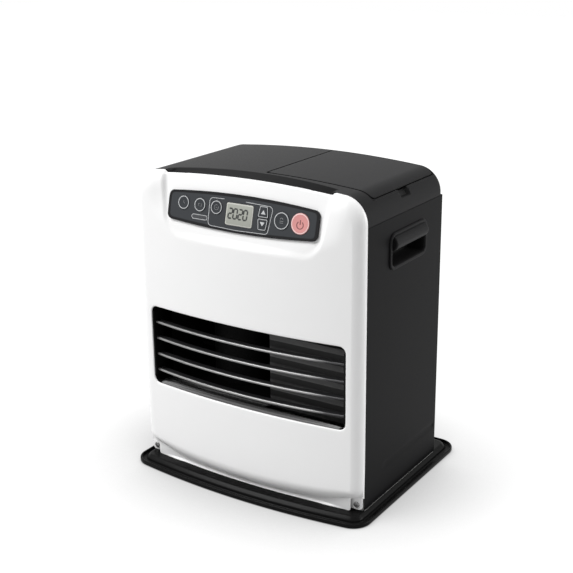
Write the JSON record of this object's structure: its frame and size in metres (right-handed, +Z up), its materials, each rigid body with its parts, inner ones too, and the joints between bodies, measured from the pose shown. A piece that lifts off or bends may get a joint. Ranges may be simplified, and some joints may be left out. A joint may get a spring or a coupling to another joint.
{
  "type": "paraffin heater",
  "caption": "Fan-forced paraffin heater with a bowed white front, a warm-air grille, a control panel and a lift-up lid over its fuel tank, on a black floor tray.",
  "frame": {"origin": "centre of the floor tray's underside", "axes": "+Z up, the front faces -Y, +X to the right of a viewer who faces the front"},
  "size_m": [0.371, 0.299, 0.429],
  "materials": {
    "white_panel": "satin white paint",
    "black_paint": "satin black paint",
    "black_moulding": "fine-grained black moulding",
    "black_tray": "glossy black moulding",
    "dark_fascia": "smooth dark slate film",
    "display_pane": "clear pane",
    "lcd_cell": "grey-green display cell",
    "lens": "translucent lens",
    "dark_key": "dark slate key",
    "power_key": "salmon key",
    "louvre_steel": "satin steel",
    "bare_steel": "galvanised steel",
    "burner_iron": "heat-darkened iron",
    "fuel_brass": "drawn tube",
    "motor_black": "black enamel",
    "circuit_green": "circuit board",
    "fan_grey": "grey moulding",
    "filter_grey": "dark grey frame and mesh",
    "screw_steel": "plated steel"
  },
  "bodies": {
    "heater": {"base_tray": "black_tray", "chassis_base": "bare_steel", "front_panel": "white_panel", "front_screws": "screw_steel", "right_side_panel": "black_paint", "left_side_panel": "black_paint", "right_handle": "black_moulding", "left_handle": "black_moulding", "rear_panel": "black_paint", "rear_screws": "screw_steel", "top_cover": "black_moulding", "lid_hinge_pin": "screw_steel", "lid_hinge_bracket": "bare_steel", "control_fascia": "dark_fascia", "display_window": "display_pane", "indicator_lens": "lens", "lcd_panel": "lcd_cell", "display_board": "circuit_green", "grille_louvres": "louvre_steel", "grille_ends": "black_paint", "outlet_shield": "motor_black", "outlet_floor": "motor_black", "tank_well": "bare_steel", "sump_tank": "bare_steel", "fuel_filter": "fuel_brass", "fuel_pump": "motor_black", "fuel_pipe": "fuel_brass", "burner_stand": "bare_steel", "burner_pot": "burner_iron", "burner_head": "burner_iron", "combustion_chamber": "bare_steel", "igniter": "bare_steel", "flame_rod": "bare_steel", "heat_duct": "bare_steel", "blower_housing": "motor_black", "blower_motor": "motor_black", "air_tube": "motor_black", "fan_motor": "motor_black", "fan_guard": "motor_black", "filter_frame": "black_moulding", "main_board": "circuit_green", "transformer": "burner_iron", "tip_switch": "black_moulding", "room_sensor": "black_moulding", "cord_gland": "black_moulding"},
    "lid": {"tank_lid": "black_moulding"},
    "tank": {"fuel_tank": "bare_steel", "tank_cap": "fuel_brass", "tank_handle": "black_moulding"},
    "fan": {"fan_blades": "fan_grey"},
    "blower_wheel": {"blower_impeller": "fan_grey"},
    "filter": {"air_filter": "filter_grey"},
    "timer_button": {"timer_button": "dark_key"},
    "save_button": {"save_button": "dark_key"},
    "set_button": {"set_button": "dark_key"},
    "up_button": {"up_button": "dark_key"},
    "down_button": {"down_button": "dark_key"},
    "lock_button": {"lock_button": "dark_key"},
    "power_button": {"power_button": "power_key"}
  },
  "joints": [
    {"name": "lid_hinge", "type": "hinge", "parent": "heater", "child": "lid", "pos_m": [0.0225, 0, 0.4225], "axis": [0, -1, 0], "range_deg": [0, 95]},
    {"name": "tank_lift", "type": "slide", "parent": "heater", "child": "tank", "axis": [0, 0, 1], "range_m": [0, 0.012]},
    {"name": "fan_spin", "type": "hinge", "parent": "heater", "child": "fan", "pos_m": [-0.068, 0.077, 0.186], "axis": [0, 1, 0], "continuous": true},
    {"name": "blower_spin", "type": "hinge", "parent": "heater", "child": "blower_wheel", "pos_m": [-0.13, 0.04, 0.033], "axis": [0, 0, 1], "continuous": true},
    {"name": "filter_pull", "type": "slide", "parent": "heater", "child": "filter", "axis": [0, 0, 1], "range_m": [0, 0.15]},
    {"name": "timer_press", "type": "slide", "parent": "heater", "child": "timer_button", "axis": [0, 0.9715, -0.2368], "range_m": [0, 0.0008], "stiffness_N_per_m": 200, "springref_m": -0.003},
    {"name": "save_press", "type": "slide", "parent": "heater", "child": "save_button", "axis": [0, 0.9715, -0.2368], "range_m": [0, 0.0008], "stiffness_N_per_m": 200, "springref_m": -0.003},
    {"name": "set_press", "type": "slide", "parent": "heater", "child": "set_button", "axis": [0, 0.9715, -0.2368], "range_m": [0, 0.0008], "stiffness_N_per_m": 200, "springref_m": -0.003},
    {"name": "up_press", "type": "slide", "parent": "heater", "child": "up_button", "axis": [0, 0.9715, -0.2368], "range_m": [0, 0.0008], "stiffness_N_per_m": 200, "springref_m": -0.003},
    {"name": "down_press", "type": "slide", "parent": "heater", "child": "down_button", "axis": [0, 0.9715, -0.2368], "range_m": [0, 0.0008], "stiffness_N_per_m": 200, "springref_m": -0.003},
    {"name": "lock_press", "type": "slide", "parent": "heater", "child": "lock_button", "axis": [0, 0.9715, -0.2368], "range_m": [0, 0.0008], "stiffness_N_per_m": 200, "springref_m": -0.003},
    {"name": "power_press", "type": "slide", "parent": "heater", "child": "power_button", "axis": [0, 0.9715, -0.2368], "range_m": [0, 0.0008], "stiffness_N_per_m": 200, "springref_m": -0.003}
  ]
}
